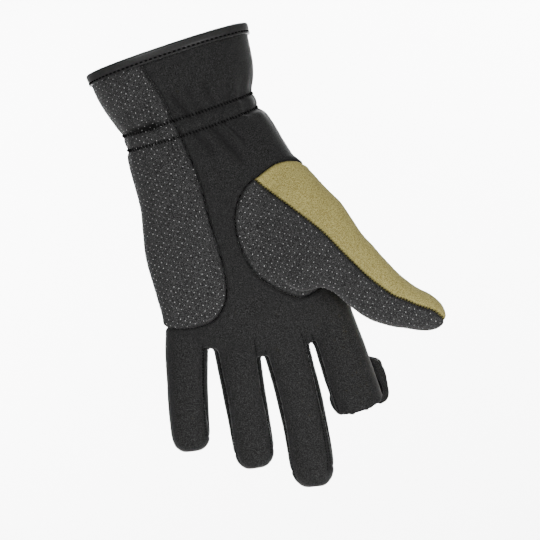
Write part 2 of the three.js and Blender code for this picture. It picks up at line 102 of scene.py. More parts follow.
# across, sunk, sag, gather
ELASTIC_ROWS = (
    (-0.5, 1.0, 0.7, 0.3),
    (-0.2, 0.15, 0.8, 0.7),
    (0.2, 0.15, 0.9, 0.7),
    (0.5, 1.0, 1.0, 0.3),
)
# down, left, right, front, back, web, gather
PALM_ROWS = (
    (0.058, 0.1, 0.22, 0.04, 0.06, 0.0, 0.6),
    (0.115, 0.15, 0.43, 0.1, 0.16, 0.0, 0.3),
    (0.19, 0.19, 0.61, 0.24, 0.36, 0.0, 0.05),
    (0.27, 0.26, 0.82, 0.4, 0.53, 0.0, 0.0),
    (0.37, 0.51, 0.95, 0.57, 0.69, 0.0, 0.0),
    (0.48, 0.73, 1.0, 0.78, 0.83, 0.0, 0.0),
    (0.61, 0.82, 0.96, 1.0, 1.0, 0.0, 0.0),
    (0.74, 0.86, 0.96, 1.1, 1.05, 0.12, 0.0),
    (0.86, 0.95, 0.97, 1.24, 1.2, 0.5, 0.0),
    (0.945, 0.9, 0.9, 1.55, 1.5, 0.85, 0.0),
    (1.0, 0.7, 0.6, 2.15, 2.1, 1.0, 0.0),
)
# along, wide, deep
FINGER_ROWS = (
    (0.0, 1.06, 1.0),
    (0.3, 1.04, 1.02),
    (0.6, 1.0, 1.0),
    (0.87, 0.97, 0.95),
    (0.94, 0.88, 0.84),
    (0.98, 0.66, 0.6),
    (1.0, 0.3, 0.26),
)
OPEN_FINGER_ROWS = (
    (0.0, 1.02, 1.0),
    (0.35, 1.0, 1.02),
    (0.7, 1.0, 1.0),
    (1.0, 0.98, 0.94),
)
# along, offset, half, forward, deep, wrap
THUMB_ROWS = (
    (-0.14, 0.12, 0.83, 0.1, 0.95, 0.9),
    (-0.04, 0.04, 0.85, 0.18, 1.1, 0.9),
    (0.08, -0.08, 0.88, 0.26, 1.17, 0.9),
    (0.2, -0.17, 0.88, 0.38, 1.18, 0.9),
    (0.32, -0.23, 0.79, 0.5, 1.13, 0.8),
    (0.4, -0.15, 0.6, 0.59, 1.08, 0.5),
    (0.46, -0.155, 0.55, 0.65, 1.05, 0.3),
    (0.56, -0.218, 0.517, 0.76, 1.0, 0.15),
    (0.68, -0.26, 0.476, 0.86, 0.96, 0.1),
    (0.78, -0.225, 0.418, 0.93, 0.92, 0.05),
    (0.87, -0.14, 0.36, 0.97, 0.84, 0.0),
    (0.94, -0.095, 0.285, 0.99, 0.66, 0.0),
    (0.98, -0.075, 0.19, 1.0, 0.44, 0.0),
    (1.0, -0.063, 0.045, 1.0, 0.24, 0.0),
)
# up, wide, deep
HOOD_ROWS = (
    (0.0, 0.82, 0.86),
    (0.17, 0.9, 0.98),
    (0.42, 0.98, 1.0),
    (0.64, 1.0, 0.98),
    (0.78, 0.9, 0.92),
    (0.89, 0.7, 0.78),
    (0.96, 0.46, 0.6),
    (1.0, 0.18, 0.32),
)
# across, down
HEEL_SEAM = (
    (-0.156, -0.33), (-0.15, -0.247), (-0.103, -0.115), (-0.087, -0.022), (-0.071, 0.087),
    (-0.056, 0.24), (-0.072, 0.416), (-0.078, 0.574), (-0.099, 0.684), (-0.147, 0.755),
    (-0.232, 0.798), (-0.35, 0.798), (-0.45, 0.775), (-0.53, 0.745),
)
THUMB_SEAM = (
    (0.56, 0.35), (0.514, 0.312), (0.474, 0.287), (0.386, 0.274), (0.268, 0.299),
    (0.162, 0.334), (0.077, 0.409), (0.042, 0.515), (0.056, 0.629), (0.098, 0.7),
    (0.184, 0.774), (0.268, 0.818), (0.343, 0.814), (0.406, 0.802),
)
THUMB_BACK_SEAM = (
    (0.56, 0.33), (0.47, 0.305), (0.415, 0.345), (0.39, 0.44), (0.385, 0.57),
    (0.405, 0.69), (0.455, 0.765), (0.5, 0.802),
)
# along, offset
OLIVE_SEAM = (
    (-0.22, 0.14), (-0.096, 0.106), (0.046, 0.087), (0.226, 0.047), (0.358, -0.041),
    (0.444, -0.1), (0.549, -0.161), (0.638, -0.181), (0.717, -0.179), (0.777, -0.125),
    (0.842, -0.081), (0.929, 0.0), (1.02, -0.03),
)
# Folds in the cloth of the palm's side: from x, z to x, z, width, depth
FOLDS = (
    (-5.0, -24.0, 0.5, -38.0, 1.3, 1.1),
    (3.5, -22.0, 7.0, -38.0, 1.5, 0.6),
    (12.0, -22.0, 14.5, -37.0, 1.5, 0.8),
    (24.0, -26.0, 23.0, -36.0, 1.6, 0.6),
    (0.0, -45.0, 6.5, -60.0, 1.5, 1.0),
    (9.0, -45.0, 19.5, -68.0, 1.8, 1.2),
    (15.0, -44.0, 23.0, -58.0, 1.4, 0.9),
    (-12.0, -46.0, -13.0, -58.0, 1.8, 0.5),
    (-28.0, -25.0, -27.0, -36.0, 1.8, 0.6),
    (-17.0, -24.0, -18.0, -36.0, 1.6, 0.5),
)


def lerp(a, b, share):
    return a + (b - a) * share


def columns(rows):
    return np.array(rows, float).T


def smooth(xs, ys, at):
    """Values of a monotone cubic through table points, held past the table's ends."""
    at = np.clip(at, xs[0], xs[-1])
    step = np.diff(xs)
    slope = np.diff(ys) / step
    before, after = slope[:-1], slope[1:]
    total = np.where(before + after == 0, 1, before + after)
    inner = np.where(after * before > 0, 2 * after * before / total, 0)
    tangent = np.concatenate([slope[:1], inner, slope[-1:]])
    i = np.clip(np.searchsorted(xs, at, side="right") - 1, 0, len(xs) - 2)
    t = (at - xs[i]) / step[i]
    return (
        (2 * t**3 - 3 * t**2 + 1) * ys[i]
        + (t**3 - 2 * t**2 + t) * step[i] * tangent[i]
        + (3 * t**2 - 2 * t**3) * ys[i + 1]
        + (t**3 - t**2) * step[i] * tangent[i + 1]
    )


def spline(points, steps=12):
    """A smooth line through points."""
    points = np.array(points, float)
    padded = np.vstack([2 * points[0] - points[1], points, 2 * points[-1] - points[-2]])
    t = np.arange(steps)[:, None] / steps
    made = []
    for a, b, c, d in zip(padded, padded[1:], padded[2:], padded[3:]):
        bend, twist = 2 * a - 5 * b + 4 * c - d, 3 * b - 3 * c + d - a
        made.append(0.5 * (2 * b + (c - a) * t + bend * t**2 + twist * t**3))
    return np.vstack([*made, points[-1:]])


def curl(z):
    share = np.maximum(0, (WEB_HEIGHT + CURL_ABOVE_WEB - z) / CURL_LENGTH)
    return -CURL_FORWARD * share**2


def section(turn):
    c, s = np.cos(turn), np.sin(turn)
    power = 2 / SQUARENESS
    return np.sign(c) * np.abs(c) ** power, np.sign(s) * np.abs(s) ** power


def turns(count):
    return np.arange(count) * 2 * math.pi / count


def body_table():
    rows = []
    for down, left, right, gather in CUFF_ROWS:
        depth = lerp(CUFF_DEPTH, WRIST_DEPTH, left) / 2
        sides = [lerp(CUFF_WIDTH, WRIST_WIDTH, share) / 2 for share in (left, right)]
        rows.append([down * CUFF_LENGTH, *sides, depth, depth, 0, gather, 0])
    for across, sunk, sag, gather in ELASTIC_ROWS:
        side = WRIST_WIDTH / 2 - sunk * GROOVE_DEPTH
        depth = WRIST_DEPTH / 2 - sunk * GROOVE_DEPTH
        below = CUFF_LENGTH + across * ELASTIC_WIDTH
        rows.append([below, side, side, depth, depth, 0, gather, sag * ELASTIC_SAG])
    for down, left, right, front, back, web, gather in PALM_ROWS:
        sides = [lerp(WRIST_WIDTH, PALM_WIDTH, share) / 2 for share in (left, right)]
        depths = [lerp(WRIST_DEPTH, PALM_DEPTH, share) / 2 for share in (front, back)]
        rows.append([CUFF_LENGTH + down * PALM_LENGTH, *sides, *depths, web, gather, 0])
    return columns(rows)


BODY = body_table()


def body_point(below, turn, grow=0.0):
    """Points of the cuff and palm, at distances below the cuff's edge and turns round the hand."""
    left, right, front, back, web, gather, sag = (
        smooth(BODY[0], column, np.asarray(below, float)) for column in BODY[1:]
    )
    u, v = section(turn)
    fold = GATHER_DEPTH * gather * (np.cos(GATHER_COUNT * turn) - 1) * 0.5
    x = u * (np.where(u < 0, left, right) + grow + fold)
    share = x / PALM_WIDTH
    rise = web * (WEB_ARCH * share**2 - WEB_LEAN * share) - sag * np.maximum(0, v)
    z = -np.asarray(below, float) + rise
    y = curl(z) - v * (np.where(v > 0, front, back) + grow + fold)
    return np.stack(np.broadcast_arrays(x, y, z), -1)


def finger_line(finger, along):
    """Middle x and z of a finger and its lean, at shares of its reach."""
    along = np.asarray(along, float)
    steps = 24
    share = (np.arange(steps) + 0.5) / steps * along[..., None]
    lean = np.radians(lerp(finger.lean_root, finger.lean_tip, share))
    x = finger.root * PALM_WIDTH - np.sin(lean).sum(-1) * finger.reach * along / steps
    z = -CUFF_LENGTH - FINGERS_DOWN * PALM_LENGTH
    z = z - np.cos(lean).sum(-1) * finger.reach * along / steps
    return x, z, np.radians(lerp(finger.lean_root, finger.lean_tip, along))


def beside_finger(finger, along, side):
    x, z, lean = finger_line(finger, along)
    return x + side * np.cos(lean), z - side * np.sin(lean)


def finger_size(finger, along):
    """Half the width and half the depth of a finger at shares of its reach."""
    along = np.asarray(along, float)
    if finger.open:
        rows = columns(OPEN_FINGER_ROWS)
        wide, deep = (smooth(rows[0], column, along) for column in rows[1:])
    else:
        rows = columns(FINGER_ROWS)[:, ::-1]
        nearness, at = np.sqrt(1 - rows[0]), np.sqrt(np.maximum(0, 1 - along))
        wide, deep = (smooth(nearness, column, at) for column in rows[1:])
    return wide * finger.width / 2, deep * finger.depth / 2


def thumb_plane(along, offset):
    """x and z from distances along the thumb and to its outer side."""
    x = THUMB_ROOT_X + along * THUMB_SIN + offset * THUMB_COS
    return x, THUMB_ROOT_Z - along * THUMB_COS + offset * THUMB_SIN


def thumb_frame(points):
    """Distances along the thumb and to its outer side, from points."""
    x, z = points[..., 0] - THUMB_ROOT_X, points[..., 2] - THUMB_ROOT_Z
    return x * THUMB_SIN - z * THUMB_COS, x * THUMB_COS + z * THUMB_SIN


def thumb_size(along):
    """The thumb's offset, half width, place forward, half depth and wrap, at shares of its reach."""
    rows = columns(THUMB_ROWS)[:, ::-1]
    nearness, at = np.sqrt(1 - rows[0]), np.sqrt(np.clip(1 - along, 0, None))
    offset, half, forward, deep, wrap = (smooth(nearness, column, at) for column in rows[1:])
    offset, half = offset * THUMB_WIDTH, half * THUMB_WIDTH
    return offset, half, forward * THUMB_FORWARD, deep * THUMB_DEPTH / 2, wrap


def grid(rings):
    """The vertex numbers of rings of equal count."""
    return np.arange(rings.shape[0] * rings.shape[1]).reshape(rings.shape[:2])


def quads(index):
    """Faces between neighbouring rings, from a grid of vertex numbers."""
    turned = np.roll(index, -1, 1)
    return np.stack([index[:-1], turned[:-1], turned[1:], index[1:]], -1).reshape(-1, 4)


def loft(rings):
    """Vertices and faces through rings of equal count, closed straight across at both ends."""
    index = grid(rings)
    count = index.shape[1]
    i = np.arange(count // 2)
    faces = [quads(index)]
    for row in (index[0], index[-1]):
        corners = (i, i + 1, (count - i - 1) % count, (count - i) % count)
        faces.append(np.stack([row[corner] for corner in corners], -1))
    return rings.reshape(-1, 3), np.vstack(faces)


def body_form():
    end = BODY[0, -1]
    below = np.concatenate([[-PAST_END, -PAST_END / 2], np.arange(0, end, BODY_STEP), [end]])
    rings = [body_point(max(0.0, row), turns(BODY_TURNS)) for row in below]
    for row, ring in zip(below, rings):
        ring[:, 2] -= min(0.0, row)
    return loft(np.array(rings))


def finger_form(finger):
    end = 1 + PAST_END / finger.reach if finger.open else 1.0
    along = end - end * np.linspace(1, 0, FINGER_LEVELS) ** CROWDED
    u, v = section(turns(TUBE_TURNS))
    rings = []
    for share in along:
        half, deep = finger_size(finger, share)
        slack = np.where(u < 0, finger.slack_left, finger.slack_right)
        slack = slack * np.clip((SLACK_FROM - share) / SLACK_OVER, 0, 1)
        x, z = beside_finger(finger, share, u * (half - slack))
        rings.append(np.stack([x, curl(z) - v * deep, z], -1))
    return loft(np.array(rings))


def thumb_form():
    first = THUMB_ROWS[0][0]
    along = 1 - (1 - first) * np.linspace(1, 0, THUMB_LEVELS) ** CROWDED
    u, v = section(turns(TUBE_TURNS))
    rings = []
    for share in along:
        offset, half, forward, deep, _ = thumb_size(share)
        x, z = thumb_plane(share * THUMB_REACH, offset + u * half)
        rings.append(np.stack([x, -forward - v * deep, z], -1))
    return loft(np.array(rings))


def joined(parts):
    """The vertices and faces of several meshes as one."""
    verts, faces, base = [], [], 0
    for part_verts, part_faces in parts:
        verts.append(part_verts)
        faces.append(part_faces + base)
        base += len(part_verts)
    return np.vstack(verts), np.vstack(faces)


def linked(name, data):
    """A new object in the scene."""
    obj = bpy.data.objects.new(name, data)
    bpy.context.scene.collection.objects.link(obj)
    return obj


def mesh_object(name, verts, faces):
    """A new mesh and its object."""
    mesh = bpy.data.meshes.new(name)
    mesh.from_pydata(verts, [], faces)
    return mesh, linked(name, mesh)


def fused(parts, grain):
    """One closed skin of triangles round overlapping closed forms."""
    verts, faces = joined(parts)
    mesh, obj = mesh_object("form", verts.tolist(), faces.tolist())
    modifier = obj.modifiers.new("fuse", "REMESH")
    modifier.mode = "VOXEL"
    modifier.voxel_size = grain
    made = obj.evaluated_get(bpy.context.evaluated_depsgraph_get()).to_mesh()
    made.calc_loop_triangles()
    points = np.zeros(len(made.vertices) * 3)
    made.vertices.foreach_get("co", points)
    tris = np.zeros(len(made.loop_triangles) * 3, int)
    made.loop_triangles.foreach_get("vertices", tris)
    bpy.data.objects.remove(obj)
    bpy.data.meshes.remove(mesh)
    return points.reshape(-1, 3), tris.reshape(-1, 3)


def relax(points, tris, rounds, weight):
    """Points moved towards their neighbours' middle, by a weight for each."""
    edges = np.unique(np.sort(np.vstack([tris[:, :2], tris[:, 1:], tris[:, ::2]]), 1), axis=0)
    ends = np.concatenate([edges[:, 0], edges[:, 1]])
    others = np.concatenate([edges[:, 1], edges[:, 0]])
    count = np.maximum(1, np.bincount(ends, minlength=len(points)))
    for _ in range(rounds):
        total = [np.bincount(ends, points[others, axis], len(points)) for axis in range(3)]
        mean = np.stack(total, -1) / count[:, None]
        points = points + (mean - points) * weight[:, None]
    return points


def unit(rows):
    return rows / np.maximum(1e-9, np.linalg.norm(rows, axis=1))[:, None]


def normals_of(points, tris):
    """The normal at each point, from the triangles round it."""
    a, b, c = (points[tris[:, k]] for k in range(3))
    face = np.cross(b - a, c - a)
    made = np.zeros_like(points)
    for axis in range(3):
        made[:, axis] = sum(np.bincount(tris[:, k], face[:, axis], len(points)) for k in range(3))
    return unit(made)


def signed(points, line):
    """Distance of flat points from a line, positive to its left."""
    best = np.full(len(points), np.inf)
    side = np.ones(len(points))
    for a, b in zip(line, line[1:]):
        run = b - a
        length = run @ run
        if length < TINY:
            continue
        rel = points - a
        share = np.clip(rel @ run / length, 0, 1)
        far = np.hypot(*(rel - share[:, None] * run).T)
        across = (run[0] * rel[:, 1] - run[1] * rel[:, 0]) / math.sqrt(length)
        # At a shared corner the segment that faces the point more squarely gives the side
        nearer = far < best - TINY
        squarer = (np.abs(far - best) <= TINY) & (np.abs(across) > np.abs(side))
        best = np.where(nearer, far, best)
        side = np.where(nearer | squarer, across, side)
    return best * np.where(side < 0, -1, 1)


def palm_line(rows):
    return np.array([(across * PALM_WIDTH, -CUFF_LENGTH - down * PALM_LENGTH) for across, down in rows])


def open_to_thumb(line):
    """A seam carried on level towards the thumb's side at both its ends."""
    return np.vstack([(FAR, line[0, 1]), line, (FAR, line[-1, 1])])


STRIP_STATIONS = np.array([0.1, 0.3, 0.5, 0.7, 0.9, 1.0])
STRIP_MARGIN, STRIP_OWN, STRIP_STEPS = 1.5, 1.0, 60
STRIP_END, STRIP_TAPER, STRIP_POINT = 1.04, 0.4, 0.6


def strip_outline(left, right):
    """The closed outline between two fingers' middles in which their strip lies."""
    sides = []
    for finger, direction in ((left, 1), (right, -1)):
        x, z, _ = finger_line(finger, STRIP_STATIONS * finger.strip)
        out = beside_finger(finger, finger.strip, direction * (finger.width / 2 + STRIP_MARGIN))
        sides.append(np.vstack([np.stack([x, z], -1), out]))
    outline = np.vstack([sides[0], sides[1][::-1]])
    return np.vstack([outline, outline[:1]])


def strip_half(points):
    """Half the width of the strips between the fingers, which narrow to a point at their ends."""
    half = np.full(len(points), STRIP_WIDTH / 2)
    for finger in FINGERS:
        x, z, _ = finger_line(finger, np.linspace(0.0, 1.0, STRIP_STEPS))
        square = (points[:, None, 0] - x) ** 2 + (points[:, None, 2] - z) ** 2
        own = square.min(1) < (finger.width / 2 + STRIP_OWN) ** 2
        share = square.argmin(1) / (STRIP_STEPS - 1) / finger.strip
        taper = np.clip((STRIP_END - share) / STRIP_TAPER, 0.0, 1.0) ** STRIP_POINT
        half = np.where(own, np.minimum(half, STRIP_WIDTH / 2 * taper), half)
    return half


def distance_to(form, points):
    """The distance of points from a form's surface."""
    tree = BVHTree.FromPolygons(form[0].tolist(), form[1].tolist())
    return np.array([tree.find_nearest(Vector(point))[3] for point in points])


FRONT_LINE = open_to_thumb(spline(palm_line(THUMB_SEAM)))
BACK_LINE = open_to_thumb(spline(palm_line(THUMB_BACK_SEAM)))
HEEL_LINE = spline(palm_line(HEEL_SEAM))
OLIVE_LINE = spline(np.array(OLIVE_SEAM) * (THUMB_REACH, THUMB_WIDTH))
FIELDS = "top mouth side front back free heel band s0 s1 s2 edge behind".split()
MOUTH_MARGIN, MOUTH_REACH = 1.5, 1.05
THUMB_FROM_X, THUMB_ABOVE = 18.0, 8.0
SNAP = 0.12


def fields_of(points, thumb, others):
    """What each cut is made along: a value for each point, which is zero on the cut."""
    x, y, z = points.T
    flat = points[:, ::2]
    made = {"top": z - FABRIC_TOP}
    end_x, end_z, _ = finger_line(INDEX, 1.0)
    share = (x - end_x) / (INDEX.width / 2 + MOUTH_MARGIN)
    mouth = end_z + MOUTH_DROP * share**2 - z
    made["mouth"] = np.where(np.abs(share) < MOUTH_REACH, mouth, -FAR)
    made["side"] = y - curl(z) - SIDE_SEAM_BACK
    made["front"] = -signed(flat, FRONT_LINE)
    made["back"] = -signed(flat, BACK_LINE)
    low = FRONT_LINE[-1, 1]
    near = (x > THUMB_FROM_X) & (z < low + THUMB_ABOVE)
    free = np.full(len(points), FAR)
    free[near] = distance_to(thumb, points[near]) - distance_to(others, points[near])
    made["free"] = np.maximum(free, z - low)
    made["heel"] = signed(flat, HEEL_LINE)
    made["band"] = np.abs(y - curl(z)) - strip_half(points)
    for i, (left, right) in enumerate(zip(FINGERS, FINGERS[1:])):
        outline = strip_outline(left, right)
        ring, following = outline[:-1], outline[1:]
        area = np.sum(ring[:, 0] * following[:, 1] - following[:, 0] * ring[:, 1])
        made[f"s{i}"] = -signed(flat, outline) * np.sign(area)
    along, offset = thumb_frame(points)
    made["edge"] = np.interp(along, OLIVE_LINE[:, 0], OLIVE_LINE[:, 1]) - offset
    _, _, forward, deep, wrap = thumb_size(np.clip(along / THUMB_REACH, THUMB_ROWS[0][0], 1))
    made["behind"] = -forward + wrap * deep - y
    return np.stack([made[name] for name in FIELDS], -1)


def split(points, tris, values, name):
    """Cuts triangles along a field's zero line. Fields and places are carried to the new points."""
    at = FIELDS.index(name)
    field = values[:, at]
    field[np.abs(field) < SNAP * GRAIN] = 0
    sign = np.sign(field)
    crossing = sign[tris] * sign[np.roll(tris, -1, 1)] < 0
    starts, ends = tris[crossing], np.roll(tris, -1, 1)[crossing]
    pairs = np.sort(np.stack([starts, ends], -1), 1)
    unique, back = np.unique(pairs, axis=0, return_inverse=True)
    a, b = unique.T
    share = (field[a] / (field[a] - field[b]))[:, None]
    new_points = lerp(points[a], points[b], share)
    new_values = lerp(values[a], values[b], share)
    new_values[:, at] = 0
    added = np.full(tris.shape, -1)
    added[crossing] = len(points) + back.reshape(-1)
    count = crossing.sum(1)
    made = [tris[count == 0]]
    for k in range(3):
        one = (count == 1) & crossing[:, k]
        a, b, c = (tris[one, (k + j) % 3] for j in range(3))
        p = added[one, k]
        made += [np.stack([a, p, c], -1), np.stack([p, b, c], -1)]
        two = (count == 2) & crossing[:, k] & crossing[:, (k + 2) % 3]
        a, b, c = (tris[two, (k + j) % 3] for j in range(3))
        p, q = added[two, k], added[two, (k + 2) % 3]
        made += [np.stack([a, p, q], -1), np.stack([p, b, c], -1), np.stack([p, c, q], -1)]
    return np.vstack([points, new_points]), np.vstack(made), np.vstack([values, new_values])


PALM, BACK, HEEL, OLIVE, GRIP, STRIP = range(6)
CROTCH_ALONG, CROTCH_IN = 0.5, 0.72


def labels_of(points, tris, values):
    """The panel of each triangle, or -1 where it is cut away."""
    total = {name: values[:, i][tris].sum(1) for i, name in enumerate(FIELDS)}
    palm_side = total["side"] < 0
    label = np.where(palm_side, PALM, BACK)
    label[palm_side & (total["heel"] < 0)] = HEEL
    for i in range(3):
        label[(total["band"] < 0) & (total[f"s{i}"] < 0)] = STRIP + i
    thumb = np.where(palm_side, total["front"] < 0, total["back"] < 0) | (total["free"] < 0)
    along, offset = thumb_frame(points[tris].mean(1))
    crotch = palm_side & (along < CROTCH_ALONG * THUMB_REACH) & (offset < -CROTCH_IN * THUMB_WIDTH)
    olive = (total["edge"] < 0) | ((total["behind"] < 0) & ~crotch)
    label[thumb & olive] = OLIVE
    label[thumb & ~olive] = GRIP
    label[(total["top"] > 0) | (total["mouth"] > 0)] = -1
    return label


def edges_with_faces(tris):
    """Each edge once, with its two triangles, or with one triangle twice at an open edge."""
    ends = np.sort(np.vstack([tris[:, :2], tris[:, 1:], tris[:, ::-2]]), 1)
    face = np.tile(np.arange(len(tris)), 3)
    order = np.lexsort((ends[:, 1], ends[:, 0]))
    ends, face = ends[order], face[order]
    first = np.append(True, np.any(ends[1:] != ends[:-1], 1))
    start = np.flatnonzero(first)
    last = np.append(start[1:], len(ends)) - 1
    return ends[start], face[start], face[last]


def seam_reach(points, tris, label):
    """How far each point is from the nearest seam, and that seam's place."""
    ends, one, other = edges_with_faces(tris)
    seam = ends[label[one] != label[other]]
    tree = KDTree(len(seam) * 4)
    a, b = points[seam[:, 0]], points[seam[:, 1]]
    for i, share in enumerate((0.0, 0.25, 0.5, 0.75)):
        for j, point in enumerate(lerp(a, b, share)):
            tree.insert(Vector(point), i * len(seam) + j)
    tree.balance()
    found = [tree.find(Vector(point)) for point in points]
    return np.array([far for *_, far in found]), np.array([place for place, *_ in found])


def row_depth(points, base, sag):
    """How far points are above a stitch row that sags on the palm's side."""
    share = np.clip(-points[:, 1] / (WRIST_DEPTH / 2), 0, 1)
    return points[:, 2] - (base - sag * share)


ELASTIC_TOP = -CUFF_LENGTH + ELASTIC_WIDTH / 2
ELASTIC_BOTTOM = -CUFF_LENGTH - ELASTIC_WIDTH / 2
ELASTIC_LINES = ((ELASTIC_TOP, 0.7 * ELASTIC_SAG), (ELASTIC_BOTTOM, ELASTIC_SAG))
# Where an elastic row is pressed in, less so on the heel's side
ROW_SINK, ROW_FILL, ROW_WIDTH = 0.3, 0.75, 1.1
HEEL_SIDE_FROM, HEEL_SIDE_OVER = 14.0, 12.0
# waves round the wrist, phase, height
PUCKERS = ((31, 0.7, 0.2), (19, 1.3, 0.26))
PUCKER_WIDTH = 2.6
# Painted shade along the elastic's stitch rows, changing with the puckers, and its width
ROW_SHADE, PUCKER_SHADE, ROW_SHADE_WIDTH = 0.3, 0.5, 1.3
# The tuck in the heel's grip panel, and the painted shade inside it
TUCK_X, TUCK_LENGTH, TUCK_ABOVE, TUCK_WIDTH = -22.5, 7.6, 0.9, 1.8
TUCK_DEPTH, TUCK_SHADE = 2.4, 0.97
# How a fold fades at its ends, the ridges beside it and the painted shade along its line
FOLD_EVEN, FOLD_FADE = 0.3, 0.22
RIDGE, RIDGE_AT = 0.5, 2.0
FOLD_SHADE, FOLD_SHADE_WIDTH = 0.55, 0.6
# How the fingers' stitch rows press the cloth in, and the painted shade along them
PRESS, PRESS_WIDTH, PRESS_SHADE, PRESS_ABOVE = 0.25, 0.7, 0.45, 2.0
TOPSTITCH_STEPS = 90

# finger, side, inset, from, to
TOPSTITCHES = (
    (LITTLE, 1, 2.3, 0.24, 0.9),
    (RING, -1, 1.3, 0.3, 0.95),
    (RING, 1, 1.5, 0.26, 0.93),
    (MIDDLE, -1, 1.2, 0.3, 0.95),
    (MIDDLE, 1, 2.0, 0.3, 0.93),
    (MIDDLE, 1, 3.3, 0.27, 0.93),
    (INDEX, -1, 1.7, 0.4, 0.96),
)


def topstitch_line(row):
    """x and z along a stitch row on the palm's side of a finger."""
    finger, direction, inset, start, end = row
    share = np.linspace(start, end, TOPSTITCH_STEPS)
    half, _ = finger_size(finger, share)
    return np.stack(beside_finger(finger, share, direction * (half - inset)), -1)


def bell(value, width):
    return np.exp(-((value / width) ** 2))


def pinch(points):
    """1 inside the tuck that the elastic's upper row pulls into the heel's grip panel."""
    along = (points[:, 0] - TUCK_X) / TUCK_LENGTH
    across = (row_depth(points, *ELASTIC_LINES[0]) - TUCK_ABOVE) / TUCK_WIDTH
    return np.exp(-(along**4) - across**2) * (points[:, 1] < 0)


def line_distance(flat, line):
    """Distance of flat points from a line."""
    far = np.full(len(flat), FAR)
    for a, b in zip(line, line[1:]):
        run = b - a
        share = np.clip((flat - a) @ run / (run @ run), 0, 1)
        far = np.minimum(far, np.hypot(*(flat - a - share[:, None] * run).T))
    return far


def fold_shape(points, row):
    """How far a fold's cloth stands out, and how much painted shade darkens its line."""
    x0, z0, x1, z1, width, depth = row
    x, z = points[:, 0] - x0, points[:, 2] - z0
    run = np.array([x1 - x0, z1 - z0])
    share = (x * run[0] + z * run[1]) / (run @ run)
    across = (x * run[1] - z * run[0]) / math.hypot(*run)
    ends = bell(np.maximum(0, np.abs(share - 0.5) - FOLD_EVEN), FOLD_FADE) * (points[:, 1] < 0)
    ridge = bell(np.abs(across) - RIDGE_AT * width, width)
    out = depth * (RIDGE * ridge - bell(across, width)) * ends
    return out, FOLD_SHADE * depth * bell(across, width * FOLD_SHADE_WIDTH) * ends


def detail(points, reach, on_grip, loose):
    """How far the cloth stands out or sinks at each point, and the painted shade that darkens it at
    seams, stitch rows, the tuck and folds.
    """
    out = (PUFF * bell(reach - PUFF_AT, PUFF_WIDTH) - SEAM_DEPTH * bell(reach, SEAM_WIDTH)) * loose
    out += GRIP_RAISE * np.clip(reach / GRIP_SLOPE, 0, 1) * on_grip
    # Painted shade, darkest along the seams
    shade = 1 - SEAM_SHADE * bell(reach, SEAM_SHADE_WIDTH)
    middle = 0.5 * sum(row_depth(points, base, sag) for base, sag in ELASTIC_LINES)
    out += CHANNEL_PUFF * bell(middle, CHANNEL_WIDTH)
    heel_side = np.clip((-points[:, 0] - HEEL_SIDE_FROM) / HEEL_SIDE_OVER, 0, 1)
    turn = np.arctan2(-points[:, 1], points[:, 0])
    pucker = sum(np.cos(turn * waves + phase) * height for waves, phase, height in PUCKERS)
    for base, sag in ELASTIC_LINES:
        above = row_depth(points, base, sag)
        out += (ROW_FILL * heel_side - ROW_SINK) * bell(above, ROW_WIDTH)
        out += pucker * bell(above, PUCKER_WIDTH)
        # Painted shade along the row
        shade *= 1 - (ROW_SHADE + PUCKER_SHADE * pucker) * bell(above, ROW_SHADE_WIDTH)
    for row in TOPSTITCHES:
        line = topstitch_line(row)
        near = np.flatnonzero(points[:, 2] < line[0, 1] + PRESS_ABOVE)
        near = near[points[near, 1] < curl(points[near, 2])]
        pressed = bell(line_distance(points[near, ::2], line), PRESS_WIDTH)
        out[near] -= PRESS * pressed
        # Painted shade along the pressed stitch row
        shade[near] *= 1 - PRESS_SHADE * pressed
    tuck = pinch(points)
    out -= TUCK_DEPTH * tuck
    # Painted shade inside the tuck
    shade *= 1 - TUCK_SHADE * tuck
    for row in FOLDS:
        raised, dark = fold_shape(points, row)
        out += raised
        # Painted shade along the fold
        shade *= 1 - dark
    wave = np.array([noise.noise(Vector(point) / WAVE_LENGTH) for point in points])
    return out + WAVE * wave, shade


def shown(name, points, faces, material, slot=None, nodes=(), shades=None):
    """A piece of the glove, from points in millimetres."""
    places = (np.asarray(points) * MM).tolist()
    mesh, obj = mesh_object(name, places, [list(face) for face in faces])
    mesh.materials.append(material)
    if shades is not None:
        mesh.attributes.new("shade", "FLOAT", "POINT").data.foreach_set("value", shades)
    mesh.shade_smooth()
    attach(obj, "root")
    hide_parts(*nodes)


def rim_direction(points, normals, rim):
    """The way from a panel's edge into the panel, at each point of its edge."""
    run = points[rim[:, 1]] - points[rim[:, 0]]
    inward = np.cross(normals[rim[:, 0]] + normals[rim[:, 1]], run)
    made = np.zeros_like(points)
    for column in range(2):
        np.add.at(made, rim[:, column], inward)
    return unit(made)


def panel_mesh(points, normals, tris):
    """A panel with its own thickness, closed round its edges, and its outer points' numbers."""
    used, inverse = np.unique(tris, return_inverse=True)
    outer = inverse.reshape(-1, 3)
    count = len(used)
    ends = np.vstack([outer[:, [0, 1]], outer[:, [1, 2]], outer[:, [2, 0]]])
    rim = ends[~np.isin(ends @ (count, 1), ends @ (1, count))]
    own, own_normals, far = points[used], normals[used], reach[used]
    away = (flat_points[used] - seam_place[used]) / np.maximum(TINY, far)[:, None]
    edge = np.unique(rim)
    away[edge] = rim_direction(own, own_normals, rim)[edge]
    own = own + away * (SEAM_GAP / 2 * np.clip(1 - far / GAP_REACH, 0, 1))[:, None]
    verts = np.vstack([own, own - own_normals * CLOTH])
    walls = [
        np.stack([rim[:, 1], rim[:, 0], rim[:, 0] + count], -1),
        np.stack([rim[:, 1], rim[:, 0] + count, rim[:, 1] + count], -1),
    ]
    faces = np.vstack([outer, outer[:, ::-1] + count, *walls])
    return verts, faces, used


def node_material(name):
    """A new material with its nodes, links and main shader."""
    material = bpy.data.materials.new(name)
    material.use_nodes = True
    nodes = material.node_tree.nodes
    return material, nodes, material.node_tree.links, nodes["Principled BSDF"]


def setting(shader, **values):
    for name, value in values.items():
        shader.inputs[name.replace("_", " ")].default_value = value


